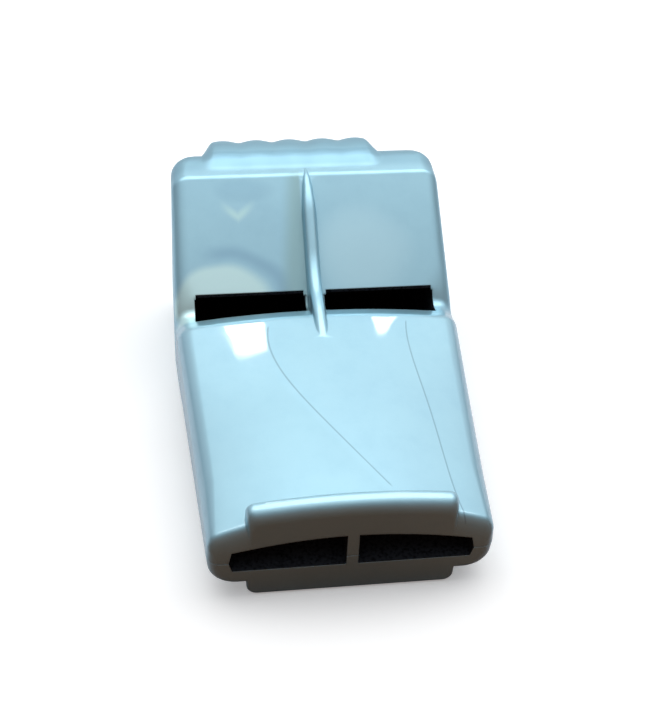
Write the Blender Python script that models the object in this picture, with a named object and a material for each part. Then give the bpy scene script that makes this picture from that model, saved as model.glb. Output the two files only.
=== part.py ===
"""Two-note pealess sports whistle: two welded shells with an air-channel block on each side.

Metres, +Z up. The mouth end faces -Y and the lanyard eye is at +Y. The whistle stands on its lower bite
ridge and its belly, and the origin is in the middle of its footprint.
"""

import math

import bmesh
import bpy
from mathutils import Vector

MM = 0.001

# Driving sizes, in metres. Lengths run back from the mouth face, heights run up from the table.
MOUTH_HALF_WIDTH = 14.05 * MM
REAR_FLARE = 2.25 * MM
FLARE_LENGTH = 32.0 * MM
WELD_GAP = 0.3 * MM
DRAFT = 0.03

# Lower outline: bite ridge, raised underside of the mouthpiece, belly.
FRONT_UNDERSIDE = 1.55 * MM
BELLY_START_Y = 24.0 * MM
BELLY_SLOPE_LENGTH = 4.5 * MM
BELLY_RADIUS = 1.5 * MM

# Mouth opening, from the floor up, and the weld line that crosses it.
MOUTH_FLOOR_WALL = 2.05 * MM
MOUTH_OPENING = 3.9 * MM
MOUTH_ROOF_DROP = 1.5 * MM
MOUTH_SIDE_KINK = 0.3 * MM
WELD_ABOVE_FLOOR = 1.1 * MM
MOUTH_ROOF_WALL = 3.1 * MM

# Upper outline along the middle: mouthpiece, brow, valley with the windows, ramp, hump.
WINDOW_Y = 33.0 * MM
BROW_SETBACK = 3.7 * MM
BROW_RISE = 1.55 * MM
BROW_DROP = 1.45 * MM
RAMP_LENGTH = 12.2 * MM
RAMP_RISE = 10.5 * MM
HUMP_LENGTH = 6.3 * MM
HUMP_RISE = 0.5 * MM
BROW_RADIUS = 2.2 * MM
VALLEY_RADIUS = 1.2 * MM
RAMP_TOP_RADIUS = 1.6 * MM
CROWN_DROP = 1.2 * MM
MOUTH_CROWN_DROP = 3.0 * MM

# Rounded edges of the body.
TOP_CORNER_RADIUS = 2.0 * MM
MOUTH_CORNER_RADIUS = 3.0 * MM
LOWER_CORNER_RADIUS = 2.2 * MM
MOUTH_EDGE_RADIUS = 1.2 * MM
UPPER_MOUTH_ROUNDING = 1.9 * MM
LOWER_MOUTH_ROUNDING = 0.8 * MM
REAR_PLAN_RADIUS = 3.2 * MM
REAR_EDGE_RADIUS = 2.2 * MM

# Walls.
MOUTH_SIDE_WALL = 2.05 * MM
REAR_SIDE_WALL = 2.5 * MM
FLOOR_WALL = 1.3 * MM
REAR_WALL = 1.6 * MM
ROOF_WALL = 1.6 * MM
PARTITION = 1.15 * MM

# Windows, with the lip that the air leaves and the blowing edge that it meets.
EXIT_HEIGHT = 1.5 * MM
LIP_THICKNESS = 0.8 * MM
WINDOW_LENGTH = 3.0 * MM
WINDOW_BRIDGE = 2.6 * MM
WINDOW_INSET = 0.15 * MM
CHANNEL_INSET = 0.15 * MM
LABIUM_EDGE = 0.4 * MM

# Channel blocks, each in a pocket that leaves a ledge along the channel's outer side.
BLOCK_LEDGE = 0.2 * MM
BLOCK_DECK = 1.2 * MM
BLOCK_SIDE = 1.2 * MM
LEFT_CORE_DEPTH = 14.0 * MM
RIGHT_CORE_DEPTH = 9.0 * MM

# Bite ridges at the mouth.
RIDGE_DEPTH = 2.0 * MM
RIDGE_INSET = 3.9 * MM
UPPER_RIDGE_RISE = 0.95 * MM
UPPER_RIDGE_DROP = 0.75 * MM
RIDGE_RADIUS = 1.0 * MM
RIDGE_REAR_RADIUS = 0.45 * MM
UPPER_RIDGE_FRONT_RADIUS = 1.45 * MM
LOWER_RIDGE_FRONT_RADIUS = 0.5 * MM

# Fin along the ramp.
FIN_THICKNESS = 1.7 * MM
FIN_TAPER = 5.0 * MM
FIN_TIP = 0.35 * MM
FIN_LEAD = 4.4 * MM
FIN_TAIL = 1.4 * MM
FIN_HEIGHT = 1.6 * MM
FIN_STEPS = 22

# Scalloped pad over the rear top edge that forms the thumb grip.
GRIP_LOBES = 5
GRIP_PITCH = 4.05 * MM
GRIP_CENTRE_X = -1.35 * MM
GRIP_PROUD = 3.6 * MM
GRIP_RISE = 1.1 * MM
GRIP_WAVE = 0.2
GRIP_END = 1.8 * MM
GRIP_SETBACK = 0.7 * MM
GRIP_RISE_LENGTH = 5.0 * MM
GRIP_TAIL = 6.5 * MM
GRIP_ROOT = 0.2 * MM
GRIP_STEPS = 6

# Lanyard eye at the rear.
EYE_LENGTH = 4.5 * MM
EYE_HEIGHT = 4.9 * MM
EYE_BAR = 1.6 * MM
EYE_WIDTH = 4.2 * MM
EYE_ROUNDING = 1.3 * MM

# Locating pegs in the weld faces.
PEG_RADIUS = 0.5 * MM
PEG_HEIGHT = 1.6 * MM
PEG_INSET = 4.2 * MM

# Sizes that follow from the others.
MOUTH_FLOOR = FRONT_UNDERSIDE + MOUTH_FLOOR_WALL
MOUTH_ROOF = MOUTH_FLOOR + MOUTH_OPENING
WELD_HEIGHT = MOUTH_FLOOR + WELD_ABOVE_FLOOR
UPPER_FACE = WELD_HEIGHT + WELD_GAP / 2
LOWER_FACE = WELD_HEIGHT - WELD_GAP / 2
MOUTH_TOP = MOUTH_ROOF + MOUTH_ROOF_WALL
BROW_Y = WINDOW_Y - BROW_SETBACK
BROW_HEIGHT = MOUTH_TOP + BROW_RISE
VALLEY_HEIGHT = BROW_HEIGHT - BROW_DROP
RAMP_TOP_Y = WINDOW_Y + RAMP_LENGTH
RAMP_TOP_HEIGHT = VALLEY_HEIGHT + RAMP_RISE
REAR_TOP_HEIGHT = RAMP_TOP_HEIGHT + HUMP_RISE
BODY_LENGTH = RAMP_TOP_Y + HUMP_LENGTH
OVERALL_LENGTH = BODY_LENGTH + EYE_LENGTH + EYE_BAR
ORIGIN_Y = OVERALL_LENGTH / 2
EXIT_Y = WINDOW_Y - WINDOW_LENGTH / 2
LABIUM_Y = WINDOW_Y + WINDOW_LENGTH / 2
INNER_X = PARTITION / 2
OVERLAP = 0.5 * MM
SHORTEST_STEP = 0.02 * MM

COLLECTION = "pealess_whistle"
ARC_STEPS = 4


def collection(name, hidden=False):
    made = bpy.data.collections.new(name)
    bpy.context.scene.collection.children.link(made)
    made.hide_render = hidden
    return made


def clear_scene():
    for obj in list(bpy.data.objects):
        bpy.data.objects.remove(obj, do_unlink=True)


def filleted(corners, steps=ARC_STEPS):
    """Points of an open outline whose inner corners (y, z, radius) are rounded by an arc."""
    points = [Vector(corners[0][:2])]
    for before, corner, after in zip(corners, corners[1:], corners[2:]):
        apex = Vector(corner[:2])
        back = (Vector(before[:2]) - apex).normalized()
        on = (Vector(after[:2]) - apex).normalized()
        half = back.angle(on) / 2
        run = corner[2] / math.tan(half)
        centre = apex + (back + on).normalized() * corner[2] / math.sin(half)
        start = apex + back * run - centre
        end = apex + on * run - centre
        for step in range(steps + 1):
            arm = start.lerp(end, step / steps).normalized() * corner[2]
            points.append(centre + arm)
    points.append(Vector(corners[-1][:2]))
    return points


def height_at(outline, y):
    """Height of an open outline at a distance y from the mouth."""
    for low, high in zip(outline, outline[1:]):
        if low.x <= y <= high.x and high.x > low.x:
            return low.y + (high.y - low.y) * (y - low.x) / (high.x - low.x)
    return outline[0].y if y < outline[0].x else outline[-1].y


def half_width(y):
    """Half width of the body at the weld line."""
    return MOUTH_HALF_WIDTH + REAR_FLARE * min(max(y / FLARE_LENGTH, 0.0), 1.0)


def chamber_side():
    return half_width(BODY_LENGTH) - REAR_SIDE_WALL


def window_side():
    return chamber_side() - WINDOW_INSET


def channel_side(y):
    """Outer side of an air channel, straight from the mouth to just inside the window's end."""
    at_mouth = half_width(0.0) - MOUTH_SIDE_WALL
    return at_mouth + (window_side() - CHANNEL_INSET - at_mouth) * y / EXIT_Y


def pocket_side(y):
    return channel_side(y) - BLOCK_LEDGE


def crown_drop(y):
    """How much lower the top is at the sides: most at the mouth, none from the blowing edge back."""
    share = (LABIUM_Y - y) / (LABIUM_Y - EXIT_Y)
    more = (MOUTH_CROWN_DROP - CROWN_DROP) * max(1 - y / BROW_Y, 0.0)
    return CROWN_DROP * min(max(share, 0.0), 1.0) + more


def top_corner(y):
    """Radius of the upper long edges, softer towards the mouth."""
    share = min(max(y / BROW_Y, 0.0), 1.0)
    return MOUTH_CORNER_RADIUS + (TOP_CORNER_RADIUS - MOUTH_CORNER_RADIUS) * share


def section(half, base, top, corner, drop, draft=DRAFT, arc_steps=ARC_STEPS, crown_steps=4):
    """Ring of (x, z) with a flat base, drafted sides, rounded corners and a crowned top.

    A top below the base gives the same section upside down.
    """
    up = 1 if top > base else -1
    rise = abs(top - base)
    side = half - draft * (rise - drop)
    corner = min(corner, 0.9 * (rise - drop), 0.9 * side)
    slope = math.atan2(2 * drop, side) if side else 0.0
    reach = side - corner
    shoulder = rise - drop * (reach / side) ** 2 - corner * math.cos(slope)
    right = [(half, 0.0)]
    for step in range(arc_steps + 1):
        angle = (math.pi / 2 - slope) * step / arc_steps
        right.append((reach + corner * math.cos(angle), shoulder + corner * math.sin(angle)))
    edge_x, edge_z = right[-1]
    for step in range(1, crown_steps + 1):
        x = edge_x * (1 - step / crown_steps)
        right.append((x, rise + (edge_z - rise) * (x / edge_x) ** 2))
    left = [(-x, z) for x, z in reversed(right[:-1])]
    return [(x, base + up * z) for x, z in right + left]


def loft(name, rings, into):
    """Closed solid through rings of (x, y, z), each with the same number of points."""
    mesh = bpy.data.meshes.new(name)
    shape = bmesh.new()
    rows = [[shape.verts.new((x, y - ORIGIN_Y, z)) for x, y, z in ring] for ring in rings]
    for low, high in zip(rows, rows[1:]):
        for i in range(len(low)):
            j = (i + 1) % len(low)
            shape.faces.new((low[i], low[j], high[j], high[i]))
    bmesh.ops.triangulate(shape, faces=shape.faces)
    shape.faces.new(rows[0])
    shape.faces.new(rows[-1])
    bmesh.ops.recalc_face_normals(shape, faces=shape.faces)
    shape.to_mesh(mesh)
    shape.free()
    mesh.shade_smooth()
    mesh.set_sharp_from_angle(angle=math.radians(35))
    obj = bpy.data.objects.new(name, mesh)
    into.objects.link(obj)
    return obj


def helper(obj):
    obj.hide_render = True
    obj.display_type = "WIRE"
    return obj


def combine(target, other, operation):
    modifier = target.modifiers.new(f"{operation.lower()} {other.name}", "BOOLEAN")
    modifier.operation = operation
    modifier.solver = "EXACT"
    modifier.object = other
    return modifier


def cut(target, *cutters):
    for cutter in cutters:
        combine(target, cutter, "DIFFERENCE")


def join(target, *others):
    for other in others:
        combine(target, other, "UNION")


# Outlines along the length.


def upper_outline():
    return filleted(
        [
            (0.0, MOUTH_TOP),
            (BROW_Y, BROW_HEIGHT, BROW_RADIUS),
            (WINDOW_Y, VALLEY_HEIGHT, VALLEY_RADIUS),
            (RAMP_TOP_Y, RAMP_TOP_HEIGHT, RAMP_TOP_RADIUS),
            (BODY_LENGTH, REAR_TOP_HEIGHT),
        ]
    )


def lower_outline():
    return filleted(
        [
            (0.0, FRONT_UNDERSIDE),
            (BELLY_START_Y, FRONT_UNDERSIDE, BELLY_RADIUS),
            (BELLY_START_Y + BELLY_SLOPE_LENGTH, 0.0, BELLY_RADIUS),
            (BODY_LENGTH, 0.0),
        ]
    )


def stations(outline, mouth_rounding):
    """Places along the length where the body has a ring, with how far each edge is drawn in there."""
    inner = [
        point.x
        for point in outline[1:-1]
        if MOUTH_EDGE_RADIUS < point.x < BODY_LENGTH - REAR_PLAN_RADIUS
    ]
    found = []
    for step in range(ARC_STEPS):
        angle = math.pi / 2 * step / ARC_STEPS
        inset = 1 - math.sin(angle)
        y = MOUTH_EDGE_RADIUS * (1 - math.cos(angle))
        found.append((y, MOUTH_EDGE_RADIUS * inset, mouth_rounding * inset))
    found += [(y, 0.0, 0.0) for y in (MOUTH_EDGE_RADIUS, FLARE_LENGTH, EXIT_Y, LABIUM_Y)]
    found += [(y, 0.0, 0.0) for y in inner]
    for step in range(ARC_STEPS + 1):
        angle = math.pi / 2 * step / ARC_STEPS
        y = BODY_LENGTH - REAR_PLAN_RADIUS * (1 - math.sin(angle))
        inset = 1 - math.cos(angle)
        found.append((y, REAR_PLAN_RADIUS * inset, REAR_EDGE_RADIUS * inset))
    found.sort()
    return [place for i, place in enumerate(found) if i == 0 or place[0] - found[i - 1][0] > SHORTEST_STEP]


def upper_half(into):
    outline = upper_outline()
    rings = []
    for y, inset_x, inset_z in stations(outline, UPPER_MOUTH_ROUNDING):
        top = height_at(outline, y) - inset_z
        ring = section(half_width(y) - inset_x, UPPER_FACE, top, top_corner(y), crown_drop(y))
        rings.append([(x, y, z) for x, z in ring])
    return loft("upper_shell", rings, into)


def lower_half(into):
    outline = lower_outline()
    rings = []
    for y, inset_x, inset_z in stations(outline, LOWER_MOUTH_ROUNDING):
        bottom = height_at(outline, y) + inset_z
        ring = section(half_width(y) - inset_x, LOWER_FACE, bottom, LOWER_CORNER_RADIUS, 0.0)
        rings.append([(x, y, z) for x, z in ring])
    return loft("lower_shell", rings, into)


# Air channels and chambers, one set for each side (-1 left, +1 right).


def channel_floor(y):
    exit_floor = channel_roof(EXIT_Y) - EXIT_HEIGHT
    return MOUTH_FLOOR + (exit_floor - MOUTH_FLOOR) * y / EXIT_Y


def channel_roof(y):
    exit_roof = height_at(upper_outline(), EXIT_Y) - LIP_THICKNESS
    return MOUTH_ROOF + (exit_roof - MOUTH_ROOF) * y / EXIT_Y


def channel_roof_drop(y):
    return MOUTH_ROOF_DROP + (CROWN_DROP / 2 - MOUTH_ROOF_DROP) * y / EXIT_Y


def channel_side_height(y):
    """Height of the widest line of an air channel, on the weld line at the mouth."""
    share = (WELD_HEIGHT - MOUTH_FLOOR) / (MOUTH_ROOF - MOUTH_FLOOR)
    return channel_floor(y) + share * (channel_roof(y) - channel_floor(y))


def channel_ring(y, side, steps=6):
    """Cross-section of an air channel: flat floor, side drafted both ways, crowned roof."""
    outer = channel_side(y)
    floor, roof, drop = channel_floor(y), channel_roof(y), channel_roof_drop(y)
    ring = [(INNER_X, floor), (outer - MOUTH_SIDE_KINK, floor), (outer, channel_side_height(y))]
    for step in range(steps + 1):
        x = outer - MOUTH_SIDE_KINK + (INNER_X - outer + MOUTH_SIDE_KINK) * step / steps
        ring.append((x, roof - drop * (x / outer) ** 2))
    return [(side * x, y, z) for x, z in ring]


def box_ring(y, side, x0, x1, z0, z1):
    return [(side * x, y, z) for x, z in ((x0, z0), (x1, z0), (x1, z1), (x0, z1))]


def channel_cutter(side, label, into):
    places = (-2 * OVERLAP, 0.0, EXIT_Y / 2, EXIT_Y, EXIT_Y + OVERLAP)
    return helper(loft(f"{label}_channel_cutter", [channel_ring(y, side) for y in places], into))


def block_start():
    """Where the channel floor, rising from the mouth, crosses the weld line."""
    rise = channel_floor(EXIT_Y) - MOUTH_FLOOR
    return EXIT_Y * (WELD_HEIGHT - MOUTH_FLOOR) / rise


def tray_floor():
    return FRONT_UNDERSIDE + FLOOR_WALL


def pocket_cutter(side, label, into):
    """Room in both shells for the channel block."""
    rings = [
        box_ring(y, side, INNER_X, pocket_side(y), tray_floor(), channel_side_height(y))
        for y in (block_start(), EXIT_Y + OVERLAP)
    ]
    return helper(loft(f"{label}_pocket_cutter", rings, into))


def chamber_roof(y):
    """Underside of the ramp: thin at the blowing edge, then a wall of even thickness."""
    slope = math.atan2(RAMP_TOP_HEIGHT - VALLEY_HEIGHT, RAMP_TOP_Y - WINDOW_Y)
    wall = ROOF_WALL / math.cos(slope)
    share = min(max((y - LABIUM_Y) / (2 * ROOF_WALL), 0.0), 1.0)
    return height_at(upper_outline(), y) - LABIUM_EDGE - (wall - LABIUM_EDGE) * share


def chamber_cutter(side, label, into):
    end = BODY_LENGTH - REAR_WALL
    outer = chamber_side()
    edge_height = height_at(upper_outline(), LABIUM_Y) - LABIUM_EDGE
    places = [LABIUM_Y, LABIUM_Y + 2 * ROOF_WALL, RAMP_TOP_Y, end - ROOF_WALL]
    rings = [box_ring(EXIT_Y, side, INNER_X, outer, FLOOR_WALL, edge_height)]
    rings += [box_ring(y, side, INNER_X, outer, FLOOR_WALL, chamber_roof(y)) for y in places]
    last = (end, side, INNER_X, outer - ROOF_WALL, 2 * FLOOR_WALL, chamber_roof(end) - ROOF_WALL)
    return helper(loft(f"{label}_chamber_cutter", rings + [box_ring(*last)], into))


def window_cutter(side, label, into):
    bottom = channel_floor(EXIT_Y)
    top = BROW_HEIGHT + 2 * FIN_HEIGHT
    rings = [
        box_ring(y, side, WINDOW_BRIDGE / 2, window_side(), bottom, top)
        for y in (EXIT_Y, LABIUM_Y)
    ]
    return helper(loft(f"{label}_window_cutter", rings, into))


# What stands on the body.


def ridge_places(front_radius):
    """Distances and height losses that round the front and the back of a bite ridge."""
    found = []
    for step in range(ARC_STEPS + 1):
        angle = math.pi / 2 * step / ARC_STEPS
        found.append((front_radius * (1 - math.cos(angle)), front_radius * (1 - math.sin(angle))))
    for step in range(ARC_STEPS + 1):
        angle = math.pi / 2 * step / ARC_STEPS
        y = RIDGE_DEPTH - RIDGE_REAR_RADIUS * (1 - math.sin(angle))
        found.append((y, RIDGE_REAR_RADIUS * (1 - math.cos(angle))))
    return found


def ridge(name, base, top, drop, front_radius, into):
    rings = []
    for y, loss in ridge_places(front_radius):
        crest = top - loss if top > base else top + loss
        ring = section(MOUTH_HALF_WIDTH - RIDGE_INSET - loss / 2, base, crest, RIDGE_RADIUS, drop)
        rings.append([(x, y, z) for x, z in ring])
    return helper(loft(name, rings, into))


def fin(into):
    """Blade that climbs from the brow over the windows and the ramp, level with the hump at its top."""
    outline = upper_outline()
    start, end = BROW_Y - FIN_LEAD, RAMP_TOP_Y + FIN_TAIL
    start_height = height_at(outline, start)
    base = channel_roof(EXIT_Y)
    rings = []
    for number in range(FIN_STEPS + 1):
        y = start + (end - start) * number / FIN_STEPS
        thick = (FIN_TIP + (FIN_THICKNESS - FIN_TIP) * min((end - y) / FIN_TAPER, 1.0)) / 2
        swell = math.sin(math.pi / 2 * min((y - start) / (LABIUM_Y - start), 1.0))
        over = max(height_at(outline, y), start_height) - OVERLAP / 2 + (OVERLAP / 2 + FIN_HEIGHT) * swell
        crest = min(over, height_at(outline, end))
        shoulder = crest - FIN_THICKNESS
        cheek = crest - FIN_THICKNESS / 3
        right = [(thick, base), (thick, shoulder), (thick * 0.8, cheek), (thick * 0.35, crest)]
        profile = right + [(-x, z) for x, z in reversed(right)]
        rings.append([(x, y, z) for x, z in profile])
    return helper(loft("fin_joiner", rings, into))


def eased(share):
    """0 to 1 with a level start and end."""
    share = min(max(share, 0.0), 1.0)
    return share * share * (3 - 2 * share)


def grip_share(x):
    """Share of its full height that the pad has at x: round lobes side by side, and a slope at each end."""
    place = (x - GRIP_CENTRE_X) / GRIP_PITCH + GRIP_LOBES / 2
    lobe = abs(math.cos(math.pi * (place % 1 - 0.5)))
    edge = GRIP_LOBES * GRIP_PITCH / 2 + GRIP_END / 2 - abs(x - GRIP_CENTRE_X)
    return (1 - GRIP_WAVE * (1 - lobe)) * eased(edge / GRIP_END)


def grip_profile(x, outline):
    """Ring of the pad at x: up the hump, over the rear edge, down the rear face, back inside the wall."""
    start, bend = RAMP_TOP_Y + GRIP_SETBACK, BODY_LENGTH - REAR_PLAN_RADIUS
    centre = height_at(outline, bend) - REAR_EDGE_RADIUS
    up, back = (GRIP_ROOT + GRIP_RISE) * grip_share(x), (GRIP_ROOT + GRIP_PROUD) * grip_share(x)
    ring = []
    for step in range(GRIP_STEPS):
        y = start + (bend - start) * step / GRIP_STEPS
        ring.append((y, height_at(outline, y) - GRIP_ROOT + up * eased((y - start) / GRIP_RISE_LENGTH)))
    for step in range(GRIP_STEPS + 1):
        angle = math.pi / 2 * step / GRIP_STEPS
        reach = bend + REAR_PLAN_RADIUS * math.sin(angle) - start
        top = REAR_EDGE_RADIUS - GRIP_ROOT + up * eased(reach / GRIP_RISE_LENGTH)
        y = bend + (REAR_PLAN_RADIUS - GRIP_ROOT + back) * math.sin(angle)
        ring.append((y, centre + top * math.cos(angle)))
    for step in range(1, GRIP_STEPS):
        out = back * (1 - eased(step / (GRIP_STEPS - 1))) - GRIP_ROOT
        ring.append((BODY_LENGTH + out, centre - GRIP_TAIL * step / (GRIP_STEPS - 1)))
    ring.append((BODY_LENGTH - REAR_WALL / 2, centre - GRIP_TAIL))
    ring.append((start + ROOF_WALL / 2, height_at(outline, start) - ROOF_WALL / 2))
    return [(x, y, z) for y, z in ring]


def grip_pad(into):
    outline = upper_outline()
    half = GRIP_LOBES * GRIP_PITCH / 2 - GRIP_END / 2
    count = GRIP_LOBES * GRIP_STEPS
    places = [-half + 2 * half * number / count for number in range(count + 1)]
    slope = [GRIP_END * number / GRIP_STEPS for number in range(1, GRIP_STEPS + 1)]
    places = [-half - x for x in reversed(slope)] + places + [half + x for x in slope]
    return helper(loft("grip_pad", [grip_profile(GRIP_CENTRE_X + x, outline) for x in places], into))


def rounded_box(name, low, high, radius, into):
    """Box along X whose four long edges are rounded."""
    shape = bmesh.new()
    bmesh.ops.create_cube(shape, size=1.0)
    for vert in shape.verts:
        vert.co = [low[i] + (vert.co[i] + 0.5) * (high[i] - low[i]) for i in range(3)]
        vert.co.y -= ORIGIN_Y
    long_edges = [e for e in shape.edges if abs(e.verts[0].co.x - e.verts[1].co.x) > OVERLAP]
    bmesh.ops.bevel(shape, geom=long_edges, offset=radius, segments=3, profile=0.5, affect="EDGES")
    mesh = bpy.data.meshes.new(name)
    shape.to_mesh(mesh)
    shape.free()
    obj = bpy.data.objects.new(name, mesh)
    into.objects.link(obj)
    return helper(obj)


def eye_joiner(name, z0, z1, into):
    """Half of the lug round the lanyard eye, from the weld face outwards."""
    low = (-EYE_WIDTH / 2, BODY_LENGTH - REAR_WALL / 2, z0)
    high = (EYE_WIDTH / 2, OVERALL_LENGTH, z1)
    return rounded_box(name, low, high, EYE_ROUNDING, into)


def eye_cutter(into):
    low = (-EYE_WIDTH, BODY_LENGTH, WELD_HEIGHT - EYE_HEIGHT / 2)
    high = (EYE_WIDTH, BODY_LENGTH + EYE_LENGTH, WELD_HEIGHT + EYE_HEIGHT / 2)
    return rounded_box("eye_cutter", low, high, EYE_ROUNDING - EYE_BAR / 2, into)


def cylinder(name, x, y, z0, z1, radius, into):
    shape = bmesh.new()
    bmesh.ops.create_cone(
        shape, cap_ends=True, segments=16, radius1=radius, radius2=radius, depth=z1 - z0
    )
    mesh = bpy.data.meshes.new(name)
    shape.to_mesh(mesh)
    shape.free()
    obj = bpy.data.objects.new(name, mesh)
    obj.location = (x, y - ORIGIN_Y, (z0 + z1) / 2)
    into.objects.link(obj)
    return helper(obj)


def pegs(into):
    """Four pegs on the lower shell and their sockets in the upper one."""
    made, sockets = [], []
    front, rear = PEG_INSET, BODY_LENGTH - PEG_INSET
    for number, (y, inner) in enumerate(((front, channel_side(front)), (rear, chamber_side()))):
        for side, label in ((-1, "left"), (1, "right")):
            x = side * (half_width(y) + inner) / 2
            name = f"{label}_{number + 1}"
            top = LOWER_FACE + PEG_HEIGHT
            made.append(cylinder(f"peg_{name}", x, y, LOWER_FACE - OVERLAP, top, PEG_RADIUS, into))
            reach = top + WELD_GAP
            wide = PEG_RADIUS + WELD_GAP
            sockets.append(cylinder(f"socket_{name}", x, y, WELD_HEIGHT - OVERLAP, reach, wide, into))
    return made, sockets


# The four mouldings.


def windway_block(side, label, core_depth, into, cutters):
    """Wedge whose top is the channel floor and whose hollow is part of the chamber."""
    rings = []
    for y in (block_start() + WELD_GAP, EXIT_Y):
        rings.append(
            box_ring(
                y,
                side,
                INNER_X + WELD_GAP,
                pocket_side(y) - WELD_GAP,
                tray_floor() + WELD_GAP,
                channel_floor(y),
            )
        )
    block = loft(f"{label}_windway_block", rings, into)
    core = []
    for y in (EXIT_Y - core_depth, EXIT_Y + OVERLAP):
        inner = INNER_X + WELD_GAP + BLOCK_SIDE
        outer = pocket_side(y) - WELD_GAP - BLOCK_SIDE
        core.append(box_ring(y, side, inner, outer, tray_floor() - OVERLAP, channel_floor(y) - BLOCK_DECK))
    cut(block, helper(loft(f"{label}_core_cutter", core, cutters)))
    return block


def plastic(name, colour, roughness):
    material = bpy.data.materials.new(name)
    material.use_nodes = True
    shader = material.node_tree.nodes["Principled BSDF"]
    shader.inputs["Base Color"].default_value = (*colour, 1.0)
    shader.inputs["Roughness"].default_value = roughness
    shader.inputs["Metallic"].default_value = 0.35
    material.diffuse_color = (*colour, 1.0)
    return material


def main():
    clear_scene()
    parts = collection(COLLECTION)
    cutters = collection("cutters", hidden=True)

    upper = upper_half(parts)
    lower = lower_half(parts)

    join(
        upper,
        ridge(
            "upper_ridge",
            MOUTH_ROOF - MOUTH_ROOF_DROP,
            MOUTH_TOP + UPPER_RIDGE_RISE,
            UPPER_RIDGE_DROP,
            UPPER_RIDGE_FRONT_RADIUS,
            cutters,
        ),
        grip_pad(cutters),
        eye_joiner("upper_eye", UPPER_FACE, WELD_HEIGHT + EYE_HEIGHT / 2 + EYE_BAR, cutters),
    )
    join(
        lower,
        ridge("lower_ridge", MOUTH_FLOOR - OVERLAP, 0.0, 0.0, LOWER_RIDGE_FRONT_RADIUS, cutters),
        eye_joiner("lower_eye", WELD_HEIGHT - EYE_HEIGHT / 2 - EYE_BAR, LOWER_FACE, cutters),
    )

    hole = eye_cutter(cutters)
    for side, label in ((-1, "left"), (1, "right")):
        channel = channel_cutter(side, label, cutters)
        pocket = pocket_cutter(side, label, cutters)
        chamber = chamber_cutter(side, label, cutters)
        cut(upper, channel, pocket, chamber, window_cutter(side, label, cutters))
        cut(lower, channel, pocket, chamber)
    made, sockets = pegs(cutters)
    cut(upper, hole, *sockets)
    cut(lower, hole)
    join(upper, fin(cutters))
    join(lower, *made)

    blocks = (
        windway_block(-1, "left", LEFT_CORE_DEPTH, parts, cutters),
        windway_block(1, "right", RIGHT_CORE_DEPTH, parts, cutters),
    )
    shell_plastic = plastic("pearl_blue_plastic", (0.32, 0.52, 0.62), 0.32)
    for shell in (upper, lower):
        shell.data.materials.append(shell_plastic)
    block_plastic = plastic("block_plastic", (0.28, 0.46, 0.56), 0.45)
    for block in blocks:
        block.data.materials.append(block_plastic)


main()
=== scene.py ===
"""Looks of a pealess sports whistle: two pearl-blue plastic shells, channel blocks and a studio stage."""

import math

import bmesh
import bpy
from bpy.props import FloatProperty, FloatVectorProperty, IntProperty, PointerProperty
from mathutils import Matrix, Vector


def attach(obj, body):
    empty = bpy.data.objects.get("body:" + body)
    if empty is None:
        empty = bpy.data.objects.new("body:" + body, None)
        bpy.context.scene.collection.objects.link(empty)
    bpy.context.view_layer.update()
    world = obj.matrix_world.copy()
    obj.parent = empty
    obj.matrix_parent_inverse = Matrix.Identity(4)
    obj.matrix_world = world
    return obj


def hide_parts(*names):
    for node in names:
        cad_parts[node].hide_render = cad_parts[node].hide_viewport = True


bl_info = {
    "name": "Pealess Whistle",
    "version": (1, 0, 0),
    "blender": (4, 5, 0),
    "location": "View3D > Sidebar > Whistle",
    "description": "Builds the plastic shells of a pealess whistle and a studio stage round them",
    "category": "Add Mesh",
}

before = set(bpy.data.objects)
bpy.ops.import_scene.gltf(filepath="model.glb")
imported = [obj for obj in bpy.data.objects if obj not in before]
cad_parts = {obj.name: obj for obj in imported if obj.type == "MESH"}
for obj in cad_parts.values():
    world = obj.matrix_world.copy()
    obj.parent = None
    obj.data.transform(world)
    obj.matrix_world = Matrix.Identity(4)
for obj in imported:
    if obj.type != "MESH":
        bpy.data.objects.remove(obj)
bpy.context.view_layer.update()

MM = 0.001

# Steps of rounded forms.
ARC_STEPS = 8
CROWN_STEPS = 10
SIDE_STEPS = 4


def length(name, description, millimetres):
    return FloatProperty(
        name=name, description=description, default=millimetres * MM, unit="LENGTH", precision=5
    )


def colour(name, description, rgb):
    return FloatVectorProperty(
        name=name, description=description, default=rgb, size=3, min=0.0, max=1.0, subtype="COLOR"
    )


class WhistleBodySizes(bpy.types.PropertyGroup):
    """Outer form of the body. Lengths run back from the mouth face, heights run up from the table."""

    mouth_half_width: length("Mouth half width", "Half width of the body at the mouth", 14.05)
    rear_flare: length("Rear flare", "How much wider each side is at the rear", 2.25)
    flare_length: length("Flare length", "Where the body reaches its full width", 32.0)
    front_underside: length("Front underside", "Height of the mouthpiece's underside", 1.55)
    belly_start: length("Belly start", "Where the underside drops to the belly", 24.0)
    belly_slope: length("Belly slope", "Length of the drop to the belly", 4.5)
    mouth_top: length("Mouth top", "Height of the top at the mouth", 10.6)
    brow: length("Brow", "Distance of the brow from the mouth", 29.3)
    brow_height: length("Brow height", "Height of the brow", 12.15)
    valley: length("Valley", "Distance of the valley from the mouth", 33.0)
    valley_height: length("Valley height", "Height of the valley", 10.7)
    ramp_top: length("Ramp top", "Distance of the ramp's top from the mouth", 45.2)
    ramp_top_height: length("Ramp top height", "Height of the ramp's top", 21.2)
    body_length: length("Body length", "Length of the body without the eye", 51.5)
    rear_height: length("Rear height", "Height of the body at the rear", 21.7)
    crown_drop: length("Crown drop", "How much lower the top is at its sides", 1.2)
    mouth_crown_drop: length("Mouth crown drop", "How much lower the top is at its sides at the mouth", 3.9)
    weld_height: length("Weld height", "Height of the weld line", 4.7)
    weld_groove: length("Weld groove", "Width of the fine groove between the shells", 0.03)


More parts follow.
